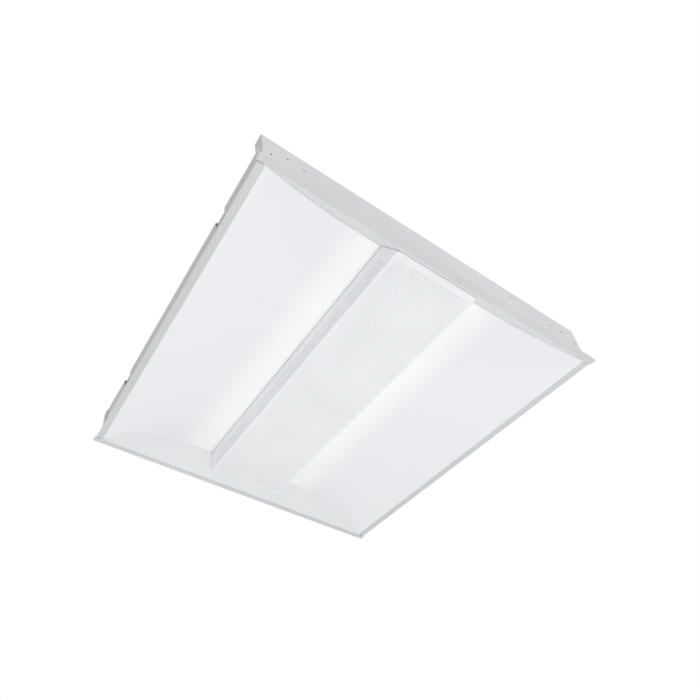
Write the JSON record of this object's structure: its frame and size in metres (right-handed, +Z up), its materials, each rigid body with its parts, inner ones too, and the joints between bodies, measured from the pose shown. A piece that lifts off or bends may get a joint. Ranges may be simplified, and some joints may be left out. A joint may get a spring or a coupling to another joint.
{
  "type": "recessed troffer light",
  "caption": "Square lay-in ceiling troffer with curved reflectors, a swing-down perforated basket, an LED driver, grid clips and a wiring access plate.",
  "frame": {"origin": "centre of the underside of the flange that rests on the ceiling grid", "axes": "+X across the reflectors, +Y along the basket, +Z up into the ceiling"},
  "size_m": [0.6082, 0.603, 0.0844],
  "materials": {
    "housing_paint": "white powder coat, slight texture",
    "reflector_paint": "high-reflectance matt white paint",
    "basket_paint": "matt white paint on perforated sheet",
    "frosted_acrylic": "frosted translucent sheet",
    "circuit_board": "white solder mask",
    "led_lens": "phosphor yellow",
    "white_plastic": "moulded",
    "black_plastic": "moulded",
    "orange_plastic": "moulded",
    "zinc_steel": "zinc plated",
    "hinge_steel": "white painted spring steel",
    "rivet_aluminium": "satin",
    "galvanised": "galvanised sheet",
    "green_board": "green solder mask",
    "green_screw": "green dyed head",
    "black_insulation": "wire insulation",
    "white_insulation": "wire insulation",
    "green_insulation": "wire insulation"
  },
  "bodies": {
    "housing": {"housing_pan": "housing_paint", "near_end_plate": "housing_paint", "far_end_plate": "housing_paint", "near_end_reflector": "reflector_paint", "far_end_reflector": "reflector_paint", "left_reflector": "reflector_paint", "right_reflector": "reflector_paint", "light_spine": "reflector_paint", "left_led_board": "circuit_board", "right_led_board": "circuit_board", "left_leds": "led_lens", "right_leds": "led_lens", "board_connectors": "white_plastic", "board_screws": "zinc_steel", "spine_screws": "zinc_steel", "lead_bushing": "black_plastic", "near_hinge_bracket": "hinge_steel", "far_hinge_bracket": "hinge_steel", "hinge_pins": "zinc_steel", "bracket_rivets": "rivet_aluminium", "near_catch": "hinge_steel", "far_catch": "hinge_steel", "catch_rivets": "rivet_aluminium", "clip_pins": "zinc_steel", "corner_rivets": "rivet_aluminium", "end_reflector_rivets": "rivet_aluminium", "lip_screws": "zinc_steel", "driver_base": "galvanised", "driver_cover": "galvanised", "driver_circuit_board": "green_board", "driver_terminals": "white_plastic", "driver_screws": "zinc_steel", "access_pivot": "zinc_steel", "access_screw": "zinc_steel", "ground_screw": "green_screw", "black_lead": "black_insulation", "white_lead": "white_insulation", "ground_lead": "green_insulation", "wire_connectors": "orange_plastic", "left_led_lead": "white_insulation", "right_led_lead": "white_insulation"},
    "basket": {"basket": "basket_paint", "bottom_diffuser": "frosted_acrylic", "side_diffusers": "frosted_acrylic"},
    "access_plate": {"access_plate": "housing_paint"},
    "near_left_clip": {"near_left_clip": "galvanised"},
    "near_right_clip": {"near_right_clip": "galvanised"},
    "far_left_clip": {"far_left_clip": "galvanised"},
    "far_right_clip": {"far_right_clip": "galvanised"}
  },
  "joints": [
    {"name": "basket_hinge", "type": "hinge", "parent": "housing", "child": "basket", "pos_m": [0.08765, 0, 0.0396], "axis": [0, -1, 0], "range_deg": [0, 60]},
    {"name": "access_plate_swing", "type": "hinge", "parent": "housing", "child": "access_plate", "pos_m": [0.19601, -0.109, 0.0816], "axis": [0, 0, 1], "range_deg": [0, 90]},
    {"name": "near_left_clip_swing", "type": "hinge", "parent": "housing", "child": "near_left_clip", "pos_m": [-0.295, -0.176, 0.0432], "axis": [0, -1, 0], "range_deg": [0, 90]},
    {"name": "near_right_clip_swing", "type": "hinge", "parent": "housing", "child": "near_right_clip", "pos_m": [0.295, -0.176, 0.0432], "axis": [0, 1, 0], "range_deg": [0, 90]},
    {"name": "far_left_clip_swing", "type": "hinge", "parent": "housing", "child": "far_left_clip", "pos_m": [-0.295, 0.176, 0.0432], "axis": [0, -1, 0], "range_deg": [0, 90]},
    {"name": "far_right_clip_swing", "type": "hinge", "parent": "housing", "child": "far_right_clip", "pos_m": [0.295, 0.176, 0.0432], "axis": [0, 1, 0], "range_deg": [0, 90]}
  ]
}
